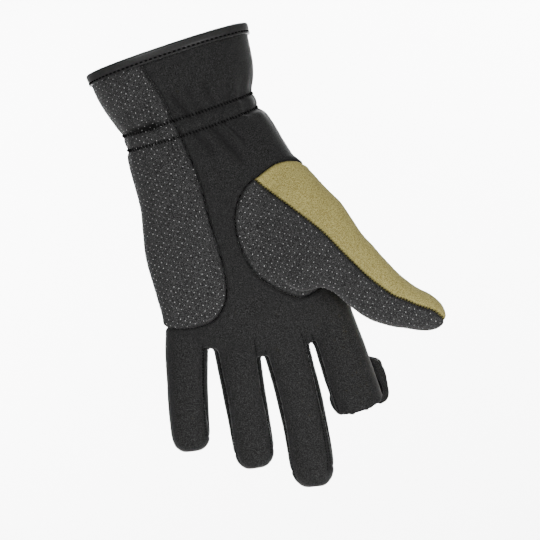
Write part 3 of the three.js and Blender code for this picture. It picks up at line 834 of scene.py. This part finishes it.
def speckle(nodes, links, colors, scale, octaves, span):
    """A fine speckle between two colours: its colour and the noise behind it."""
    place = nodes.new("ShaderNodeTexCoord")
    texture = nodes.new("ShaderNodeTexNoise")
    setting(texture, Scale=scale, Detail=octaves)
    links.new(place.outputs["Object"], texture.inputs["Vector"])
    ramp = nodes.new("ShaderNodeValToRGB")
    for element, position, color in zip(ramp.color_ramp.elements, span, colors):
        element.position = position
        element.color = (*color, 1)
    links.new(texture.outputs["Fac"], ramp.inputs["Fac"])
    return ramp.outputs["Color"], texture.outputs["Fac"]


def bumped(nodes, links, shader, height, distance):
    bump = nodes.new("ShaderNodeBump")
    setting(bump, Distance=distance)
    links.new(height, bump.inputs["Height"])
    links.new(bump.outputs["Normal"], shader.inputs["Normal"])


def shaded(nodes, links, color):
    """A colour darkened by the painted shade each point carries, as where the cloth turns down into a
    seam, a stitch row or a fold.
    """
    near = nodes.new("ShaderNodeAttribute")
    near.attribute_name = "shade"
    scale = nodes.new("ShaderNodeVectorMath")
    scale.operation = "SCALE"
    links.new(color, scale.inputs[0])
    links.new(near.outputs["Fac"], scale.inputs["Scale"])
    return scale.outputs["Vector"]


CLOTH_OCTAVES, CLOTH_SPECULAR, CLOTH_SHEEN_ROUGHNESS = 2.0, 0.25, 0.45


def cloth(name, colors, scale, span, roughness, sheen, bump, with_shade=True):
    """Speckled cloth: its two colours, the noise's scale and span, gloss, sheen and bump in metres."""
    material, nodes, links, shader = node_material(name)
    color, height = speckle(nodes, links, colors, scale, CLOTH_OCTAVES, span)
    if with_shade:
        color = shaded(nodes, links, color)
    links.new(color, shader.inputs["Base Color"])
    setting(shader, Roughness=roughness, Specular_IOR_Level=CLOTH_SPECULAR)
    setting(shader, Sheen_Weight=sheen, Sheen_Roughness=CLOTH_SHEEN_ROUGHNESS)
    bumped(nodes, links, shader, height, bump)
    return material


def plain(name, color, roughness, specular):
    material, _, _, shader = node_material(name)
    setting(shader, Base_Color=(*color, 1), Roughness=roughness, Specular_IOR_Level=specular)
    return material


def silicone(name, colors, scale, span, roughness):
    """Light grey dots, some brighter than others: partly the dots' own grey, partly painted highlight.
    """
    material, nodes, links, shader = node_material(name)
    color, _ = speckle(nodes, links, colors, scale, 0.0, span)
    links.new(color, shader.inputs["Base Color"])
    setting(shader, Roughness=roughness)
    return material


def greys(dark, light):
    return (dark,) * 3, (light,) * 3


OLIVES = (0.19, 0.155, 0.042), (0.6, 0.52, 0.185)
BLACK = cloth("black_soft_shell", greys(0.0005, 0.035), 2700, (0.43, 0.67), 0.75, 0.22, 0.00012)
KNIT = cloth("grip_knit", greys(0.002, 0.09), 2600, (0.42, 0.68), 0.85, 0.14, 0.00018)
OLIVE_CLOTH = cloth("olive_cloth", OLIVES, 2700, (0.38, 0.66), 0.9, 0.06, 0.0001)
LEATHER = cloth("binding_leather", greys(0.02, 0.03), 900, (0.3, 0.7), 0.38, 0.0, 0.00004, False)
THREAD = plain("black_thread", (0.0015,) * 3, 0.8, 0.1)
SEAM_THREAD = plain("seam_thread", (0.012, 0.011, 0.006), 0.7, 0.2)
# The dots' light grey colour is partly painted highlight
SILICONE = silicone("grip_dots", greys(0.08, 0.66), 420, (0.34, 0.66), 0.35)

# name, material, slot, in the order of the labels
PANELS = (
    ("palm_panel", BLACK, "black_fabric"),
    ("back_panel", BLACK, "black_fabric"),
    ("heel_grip", KNIT, "dotted_grip"),
    ("thumb_back", OLIVE_CLOTH, "olive_fabric"),
    ("thumb_grip", KNIT, "dotted_grip"),
    ("strip_little_ring", BLACK, "black_fabric"),
    ("strip_ring_middle", BLACK, "black_fabric"),
    ("strip_middle_index", BLACK, "black_fabric"),
)

# The skin is smoothed all over, and more where the thumb leaves the palm
RELAX, SKIN_ROUNDS, ROOT_ROUNDS = 0.5, 6, 24
ROOT_FROM_X, ROOT_LOW, ROOT_HIGH = -2.0, -176.0, -60.0
ROOT_WIDTH, ROOT_REACH = 3.0, 8.0

body = body_form()
finger_forms = [finger_form(finger) for finger in FINGERS]
thumb = thumb_form()
points, tris = fused([body, *finger_forms, thumb], GRAIN)
points = relax(points, tris, SKIN_ROUNDS, np.full(len(points), RELAX))

near = (points[:, 0] > ROOT_FROM_X) & (points[:, 2] < ROOT_HIGH) & (points[:, 2] > ROOT_LOW)
blend = np.zeros(len(points))
to_thumb = distance_to(thumb, points[near])
to_body = distance_to(body, points[near])
blend[near] = RELAX * bell(to_thumb - to_body, ROOT_WIDTH) * (to_thumb + to_body < ROOT_REACH)
points = relax(points, tris, ROOT_ROUNDS, blend)

values = fields_of(points, thumb, joined([body, *finger_forms]))
for name in FIELDS:
    points, tris, values = split(points, tris, values, name)
label = labels_of(points, tris, values)
reach, seam_place = seam_reach(points, tris, label)
normals = normals_of(points, tris)
on_grip = np.zeros(len(points))
on_grip[tris[(label == HEEL) | (label == GRIP)]] = 1
loose = np.ones(len(points))
loose[tris[label >= STRIP]] = FLAT_SEAM
# The cloth's relief, and the painted shade at each point
out, shade = detail(points, reach, on_grip, loose)
flat_points = points
skin = points + normals * out[:, None]
skin_normals = normals_of(skin, tris)
kept = label >= 0
skin_tris, skin_label = tris[kept], label[kept]
skin_tree = BVHTree.FromPolygons(skin.tolist(), skin_tris.tolist())

for kind, (name, material, slot) in enumerate(PANELS):
    verts, faces, used = panel_mesh(skin, skin_normals, skin_tris[skin_label == kind])
    shown(f"{name}_cloth", verts, faces, material, slot, (name,), np.tile(shade[used], 2))


def swept(profile, count):
    """A closed band round the cuff, from a closed profile of distance out and height."""
    rings = []
    for out, height in profile:
        ring = body_point(max(0.0, -height), turns(count), out)
        ring[:, 2] = height
        rings.append(ring)
    rings = np.array(rings)
    index = grid(rings)
    return rings.reshape(-1, 3), quads(np.vstack([index, index[:1]]))


# The folded binding's section: out from the cuff, height
BINDING_PROFILE = (
    (0.35, -5.75), (0.95, -5.85), (1.45, -5.6), (1.55, -5.2), (1.25, -4.95),
    (1.0, -4.75), (0.92, -4.5), (1.02, -4.2), (1.25, -3.9), (1.4, -3.3),
    (1.4, -2.2), (1.35, -1.2), (1.1, -0.5), (0.6, -0.1), (-0.3, 0.1),
    (-1.3, 0.05), (-2.1, -0.3), (-2.5, -0.9), (-2.7, -1.8), (-2.75, -4.0),
    (-2.7, -5.4), (-2.3, -5.7), (-1.9, -5.4), (-1.85, -1.3), (-0.9, -0.9),
    (0.05, -1.3), (0.1, -5.3),
)
BINDING_STEPS, BINDING_TURNS = 3, 360
binding_line = spline(BINDING_PROFILE + BINDING_PROFILE[:1], BINDING_STEPS)[:-1]
verts, faces = swept(binding_line, BINDING_TURNS)
shown("cuff_binding_band", verts, faces, LEATHER, "binding", ("cuff_binding",))


# The cap of the index finger, folded back behind it
HOOD_TURNS, HOOD_LEVELS, HOOD_CROWDED, HOOD_THINNEST = 72, 48, 1.7, 0.3
# Where the hood starts above the finger's end, and the painted shade over the whole pouch
HOOD_START, HOOD_SHADE = 0.8, 0.75
CORNER_RISE, CORNER_FROM, CORNER_OVER = 6.0, 0.62, 0.3


def hood_rings(inset):
    end_x, end_z, _ = finger_line(INDEX, 1.0)
    seat = curl(end_z) + INDEX.depth / 2 + GAP + HOOD_DEPTH / 2
    ups, wides, deeps = columns(HOOD_ROWS)
    u, v = section(turns(HOOD_TURNS))
    rings = []
    for up in 1 - np.linspace(1, 0, HOOD_LEVELS) ** HOOD_CROWDED:
        half = np.maximum(HOOD_THINNEST, smooth(ups, wides, up) * HOOD_WIDTH / 2 - inset)
        thick = np.maximum(HOOD_THINNEST, smooth(ups, deeps, up) * HOOD_DEPTH / 2 - inset)
        side = 2 * u * half / HOOD_WIDTH
        bend = HOOD_BEND * (np.maximum(0, side - HOOD_BEND_FROM) / (1 - HOOD_BEND_FROM)) ** 2
        x = end_x + HOOD_SHIFT + u * half
        corner = CORNER_RISE * np.clip((side - CORNER_FROM) / CORNER_OVER, 0, 1) ** 2 * (1 - up)
        z = end_z + HOOD_START + up * (HOOD_LENGTH - HOOD_START - inset) + corner
        rings.append(np.stack([x, seat - v * thick - bend, z], -1))
    return np.array(rings)


def pouch(outer, inner):
    """An open pouch: outer and inner skins, joined round the mouth and closed at the far end."""
    index = grid(outer)
    sides, base = quads(index), index.size
    first, turned = index[0], np.roll(index[0], -1)
    mouth = np.stack([first, first + base, turned + base, turned], -1)
    faces = np.vstack([sides, sides[:, ::-1] + base, mouth]).tolist()
    faces += [index[-1].tolist(), (index[-1][::-1] + base).tolist()]
    return np.vstack([outer.reshape(-1, 3), inner.reshape(-1, 3)]), faces


# x, y behind the finger's middle, z, half width across, half thickness
HOOD_RIM = (
    (44.6, -3.6, -203.4, 1.3, 0.9),
    (46.6, -2.6, -202.9, 1.5, 1.0),
    (48.6, -1.2, -202.2, 1.7, 1.1),
    (50.2, 0.2, -200.2, 1.6, 1.1),
    (51.0, 1.2, -196.6, 1.5, 1.1),
    (51.0, 2.0, -192.4, 2.2, 1.2),
    (50.9, 2.8, -188.4, 2.4, 1.2),
    (49.9, 3.8, -185.4, 2.3, 1.1),
    (47.6, 5.2, -183.2, 2.2, 1.1),
    (44.6, 7.4, -181.6, 1.6, 1.0),
)
HOOD_CORNER = (
    (26.2, -4.2, -203.2, 1.1, 0.8),
    (24.2, -2.8, -200.8, 1.2, 0.9),
    (23.2, -1.2, -197.6, 1.3, 0.9),
    (23.3, 0.8, -194.4, 1.3, 0.9),
    (24.8, 3.0, -191.8, 1.2, 0.9),
)


RIM_STEPS, RIM_TURNS, RIM_BLUNT, RIM_END = 8, 20, 20, 0.04


def rolled_rim(rows):
    """A soft rolled edge along a line, rounded off at both ends."""
    line = spline(rows, RIM_STEPS)
    place = line[:, :3].copy()
    place[:, 1] += curl(place[:, 2])
    run = unit(np.gradient(place, axis=0))
    across = unit(np.cross(run, (0.0, 1.0, 0.0)))
    through = np.cross(across, run)
    turn = turns(RIM_TURNS)[None, :, None]
    end = np.sqrt(np.clip(1 - np.linspace(-1, 1, len(line)) ** RIM_BLUNT, RIM_END, 1))
    rings = place[:, None] + np.cos(turn) * (across * (line[:, 3] * end)[:, None])[:, None]
    rings = rings + np.sin(turn) * (through * (line[:, 4] * end)[:, None])[:, None]
    return loft(rings)


pouch_verts, pouch_faces = pouch(hood_rings(0.0), hood_rings(HOOD_WALL))
rim_verts, rim_faces = joined([rolled_rim(HOOD_RIM), rolled_rim(HOOD_CORNER)])
verts = np.vstack([pouch_verts, rim_verts])
faces = pouch_faces + (rim_faces + len(pouch_verts)).tolist()
# Painted shade darkens the pouch all over; the rolled rims keep their full colour
shades = np.concatenate([np.full(len(pouch_verts), HOOD_SHADE), np.ones(len(rim_verts))])
shown("index_hood_cloth", verts, faces, BLACK, "black_fabric", ("index_hood",), shades)


def contour(points, tris, height):
    """Chains of points where triangles cross a height."""
    above = points[tris][:, :, 2] > height
    mixed = tris[above.any(1) & ~above.all(1)]
    links, place = {}, {}
    for tri in mixed.tolist():
        ends = []
        for a, b in ((tri[0], tri[1]), (tri[1], tri[2]), (tri[2], tri[0])):
            za, zb = points[a, 2], points[b, 2]
            if (za > height) != (zb > height):
                key = (min(a, b), max(a, b))
                place[key] = lerp(points[a], points[b], (height - za) / (zb - za))
                ends.append(key)
        links.setdefault(ends[0], []).append(ends[1])
        links.setdefault(ends[1], []).append(ends[0])
    chains = []
    while links:
        at = next((key for key, to in links.items() if len(to) == 1), next(iter(links)))
        chain = [at]
        while links[at]:
            to = links[at].pop()
            links[to].remove(at)
            chain.append(to)
            at = to
        links = {key: to for key, to in links.items() if to}
        chains.append(np.array([place[key] for key in chain]))
    return chains


# The dots stand in level rows, every second row moved by one column
DOT_RADIUS, DOT_HEIGHT = 0.24, 0.22
DOT_COLUMN, DOT_ROW = 2.3, 1.5
DOT_CLEAR, DOT_FRONT, OFF_GRID = 0.5, 9.0, 0.013
# name, panel, x of the grid's middle, how that leans towards the thumb's tip below a height
DOTS = (("heel_dots", HEEL, -30.0, 0.0), ("thumb_dots", GRIP, 20.0, 0.95))
LEAN_BELOW = -118.0
# size, height
DOME_ROWS = ((1.0, -0.25), (0.92, 0.45), (0.55, 0.88))
DOME_SIDES = 7


def run_along(line):
    """The distance along a line at each of its points."""
    return np.append(0, np.cumsum(np.linalg.norm(np.diff(line, axis=0), axis=1)))


def places_on(line, run, at):
    """Points at distances along a line."""
    return np.stack([np.interp(at, run, column) for column in line.T], -1)


def dot_places(kind, middle, lean):
    """Places of a staggered grid of dots on one kind of panel, measured along the cloth."""
    own = skin_tris[skin_label == kind]
    heights = skin[own][:, :, 2]
    rows = np.arange(math.floor(heights.min() / DOT_ROW), math.ceil(heights.max() / DOT_ROW))
    made = []
    for row in rows:
        height = row * DOT_ROW
        for chain in contour(skin, own, height + OFF_GRID):
            if len(chain) < 4:
                continue
            if chain[0, 0] > chain[-1, 0]:
                chain = chain[::-1]
            run = run_along(chain)
            front = chain[:, 1] < np.median(chain[:, 1]) + DOT_FRONT
            at_x = middle + max(0.0, LEAN_BELOW - height) * lean
            ref = int(np.where(front, np.abs(chain[:, 0] - at_x), FAR).argmin())
            start = chain[ref, 0] - run[ref]
            shift = (row % 2) * DOT_COLUMN
            first = math.ceil((start - shift) / (2 * DOT_COLUMN))
            last = math.floor((start + run[-1] - shift) / (2 * DOT_COLUMN))
            dots = np.arange(first, last + 1) * 2 * DOT_COLUMN
            made.extend(places_on(chain, run, dots + shift - start))
    return made


def add_ring(verts, middle, side, up, radius, count):
    for i in range(count):
        angle = i * 2 * math.pi / count
        verts.append(middle + (side * math.cos(angle) + up * math.sin(angle)) * radius)


def join_rings(faces, base, rings, count):
    index = base + np.arange(rings * count).reshape(rings, count)
    faces.extend(quads(index).tolist())


def skin_normal(face):
    return Vector(skin_normals[skin_tris[face]].mean(0)).normalized()


def domes(places):
    """Small round domes standing on the skin, none on a seam."""
    verts, faces = [], []
    for place in places:
        at, _, face, _ = skin_tree.find_nearest(Vector(place))
        if reach[skin_tris[face]].min() < DOT_CLEAR:
            continue
        normal = skin_normal(face)
        side = normal.orthogonal().normalized()
        up = normal.cross(side)
        base = len(verts)
        for size, height in DOME_ROWS:
            middle = at + normal * DOT_HEIGHT * height
            add_ring(verts, middle, side, up, DOT_RADIUS * size, DOME_SIDES)
        join_rings(faces, base, len(DOME_ROWS), DOME_SIDES)
        top, last = len(verts), len(verts) - DOME_SIDES
        verts.append(at + normal * DOT_HEIGHT)
        faces.extend((last + i, last + (i + 1) % DOME_SIDES, top) for i in range(DOME_SIDES))
    return verts, faces


for name, *where in DOTS:
    shown(name, *domes(dot_places(*where)), SILICONE)


def on_skin(point):
    """The nearest place on the skin and its normal."""
    at, _, face, _ = skin_tree.find_nearest(Vector(point))
    return at, skin_normal(face)


def on_front(point):
    """The place over an x and z on the palm's side, with its normal, or None over open air."""
    at, _, face, _ = skin_tree.ray_cast(Vector((point[0], -FAR, point[1])), Vector((0, 1, 0)))
    return None if at is None else (at, skin_normal(face))


# share of the length, thickness, lift
STITCH_ROWS = ((0.0, 0.35, -0.5), (0.14, 0.9, 0.5), (0.5, 1.0, 1.0), (0.86, 0.9, 0.5), (1.0, 0.35, -0.5))
STITCH_SIDES = 6


def stitch(mesh, start, end, normal, thread):
    """A short thread, of a radius and lift, that rises from the cloth and goes back into it."""
    verts, faces = mesh
    radius, lift = thread
    run = end - start
    side = run.cross(normal).normalized()
    base = len(verts)
    for share, size, rise in STITCH_ROWS:
        middle = start + run * share + normal * lift * rise
        add_ring(verts, middle, side, normal, radius * size, STITCH_SIDES)
    join_rings(faces, base, len(STITCH_ROWS), STITCH_SIDES)
    faces.append(list(range(base, base + STITCH_SIDES))[::-1])
    faces.append(list(range(len(verts) - STITCH_SIDES, len(verts))))


def steps_along(line, pitch):
    """Neighbouring pairs of points at an even pitch along a line."""
    line = np.asarray(line, float)
    run = run_along(line)
    at = np.linspace(0, run[-1], max(1, round(run[-1] / pitch)) + 1)
    spaced = places_on(line, run, at)
    return zip(spaced, spaced[1:])


def round_wrist(base, sag):
    """Places on the skin along one of the elastic's stitch rows."""
    line = []
    for turn in np.linspace(0, 2 * math.pi, WRIST_STEPS):
        point = body_point(-base, turn)
        point[2] = base - sag * max(0.0, section(turn)[1])
        line.append(on_skin(point)[0])
    return line


# One slanted stitch to each pitch of the wrist's zigzag
WRIST_STEPS = 560
ZIGZAG_PITCH, ZIGZAG_RISE, ZIGZAG_LEAN, ZIGZAG_THREAD = 1.75, 0.85, 0.35, (0.34, 0.22)
rise = Vector((0, 0, ZIGZAG_RISE))
mesh = [], []
for base, sag in ELASTIC_LINES:
    for a, b in steps_along(round_wrist(base, sag), ZIGZAG_PITCH):
        low, normal = on_skin(Vector(a) - rise)
        high, _ = on_skin(Vector(lerp(a, b, ZIGZAG_LEAN)) + rise)
        stitch(mesh, low, high, normal, ZIGZAG_THREAD)
shown("wrist_stitches", *mesh, THREAD)

# Stitches below the binding's fold
HEM_BELOW, HEM_OUT, HEM_STEPS = 4.5, 0.95, 721
HEM_PITCH, HEM_FROM, HEM_TO, HEM_THREAD = 2.5, 0.16, 0.8, (0.42, 0.22)
row = body_point(HEM_BELOW, np.linspace(0, 2 * math.pi, HEM_STEPS), HEM_OUT)
row[:, 2] = -HEM_BELOW
mesh = [], []
for a, b in steps_along(row, HEM_PITCH):
    x, y, _ = lerp(a, b, 0.5)
    out = Vector((x / CUFF_WIDTH**2, y / CUFF_DEPTH**2, 0)).normalized()
    stitch(mesh, Vector(lerp(a, b, HEM_FROM)), Vector(lerp(a, b, HEM_TO)), out, HEM_THREAD)
shown("binding_stitches", *mesh, THREAD)

# Running stitches beside the fingers' seams, none over open air at a crotch
FINGER_PITCH, FINGER_FILL, FINGER_THREAD, AIR_GAP = 1.5, 0.62, (0.2, 0.1), 0.4
mesh = [], []
for row in TOPSTITCHES:
    line = [found[0] for found in map(on_front, topstitch_line(row)) if found]
    for a, b in steps_along(line, FINGER_PITCH):
        start = Vector(lerp(a, b, (1 - FINGER_FILL) / 2))
        end = Vector(lerp(a, b, (1 + FINGER_FILL) / 2))
        at, normal = on_skin((start + end) / 2)
        if (at - (start + end) / 2).length < AIR_GAP:
            stitch(mesh, start, end, normal, FINGER_THREAD)
shown("finger_stitches", *mesh, THREAD)

# Stitches laid over the seam between the thumb's two fabrics
OVERLOCK_PITCH, OVERLOCK_THREAD, OVERLOCK_LONGEST = 1.5, (0.24, 0.18), 2.2
OVERLOCK_IN, OVERLOCK_ON, OVERLOCK_OUT = 0.15, 0.35, 1.0
mesh = [], []
for a, b in steps_along(np.stack(thumb_plane(*OLIVE_LINE.T), -1), OVERLOCK_PITCH):
    run = (b - a) / np.linalg.norm(b - a)
    across = np.array([-run[1], run[0]])
    start = on_front(a - across * OVERLOCK_IN)
    end = on_front(a + run * OVERLOCK_ON + across * OVERLOCK_OUT)
    if start and end and (start[0] - end[0]).length < OVERLOCK_LONGEST:
        stitch(mesh, start[0], end[0], start[1], OVERLOCK_THREAD)
shown("thumb_overlock", *mesh, SEAM_THREAD)

# Floor, backdrop, light and camera, in metres
STAGE_HALF, FLOOR, STAGE_TOP = 2.2, -0.85, 1.4
BEND_AT, BEND, BEND_STEPS = 1.7, 0.3, 12
GLOVE_MIDDLE = (0.014, 0.0, -0.12)
FINGERS_MIDDLE = (0.0, 0.0, -0.222)
PAPER_MIDDLE = (0.02, 2.0, -0.12)
SPOT_RADIUS, WORLD_LIGHT = 0.1, 0.34
# name, place, size, power
AREA_LIGHTS = (
    ("key", (-0.4, -1.5, 0.6), 0.6, 14),
    ("fill", (0.5, -1.0, -0.8), 0.6, 12),
    ("back", (0.5, 1.2, 0.9), 0.7, 12),
)
# name, place, target, degrees, softness of the edge, power
SPOT_LIGHTS = (
    ("fingers", (0.3, -1.2, -0.35), FINGERS_MIDDLE, 9, 1.0, 55),
    ("paper_left", (-1.1, 0.75, 0.35), PAPER_MIDDLE, 46, 0.6, 780),
    ("paper_right", (1.1, 0.75, 0.35), PAPER_MIDDLE, 46, 0.6, 780),
)


def stage_sheet():
    """A pale floor that sweeps up into the backdrop."""
    profile = [(-STAGE_HALF, FLOOR), (BEND_AT, FLOOR)]
    for i in range(1, BEND_STEPS + 1):
        angle = i / BEND_STEPS * math.pi / 2
        profile.append((BEND_AT + BEND * math.sin(angle), FLOOR + BEND * (1 - math.cos(angle))))
    profile.append((BEND_AT + BEND, STAGE_TOP))
    verts = [(x, y, z) for y, z in profile for x in (-STAGE_HALF, STAGE_HALF)]
    faces = [(2 * i, 2 * i + 1, 2 * i + 3, 2 * i + 2) for i in range(len(profile) - 1)]
    mesh, obj = mesh_object("stage", verts, faces)
    mesh.materials.append(plain("stage_paper", (0.92,) * 3, 0.9, 0.1))
    mesh.shade_smooth()


def add_light(name, kind, place, target, power):
    light = bpy.data.lights.new(name, kind)
    light.energy = power
    obj = linked(name, light)
    obj.location = place
    obj.rotation_euler = (Vector(target) - Vector(place)).to_track_quat("-Z", "Y").to_euler()
    return light


stage_sheet()
for name, place, size, power in AREA_LIGHTS:
    light = add_light(name, "AREA", place, GLOVE_MIDDLE, power)
    light.shape = "SQUARE"
    light.size = size
for name, place, target, degrees, softness, power in SPOT_LIGHTS:
    light = add_light(name, "SPOT", place, target, power)
    light.spot_size = math.radians(degrees)
    light.spot_blend = softness
    light.shadow_soft_size = SPOT_RADIUS
world = bpy.data.worlds.new("studio")
world.use_nodes = True
setting(world.node_tree.nodes["Background"], Color=(1, 1, 1, 1), Strength=WORLD_LIGHT)
bpy.context.scene.world = world

# The camera looks along +Y and is rolled, with the picture's width and middle in millimetres
CAMERA_FAR, CAMERA_ROLL, SENSOR = 1400.0, math.radians(18.5), 36
PICTURE_WIDTH, PICTURE_X, PICTURE_Z = 274.1, 14.3, -122.8
camera = bpy.data.cameras.new("camera")
camera.sensor_width = SENSOR
camera.lens = SENSOR * CAMERA_FAR / PICTURE_WIDTH
camera_object = linked("camera", camera)
c, s = math.cos(CAMERA_ROLL), math.sin(CAMERA_ROLL)
camera_object.matrix_world = Matrix(
    (
        (c, s, 0, PICTURE_X * MM),
        (0, 0, -1, -CAMERA_FAR * MM),
        (-s, c, 0, PICTURE_Z * MM),
        (0, 0, 0, 1),
    )
)
bpy.context.scene.camera = camera_object
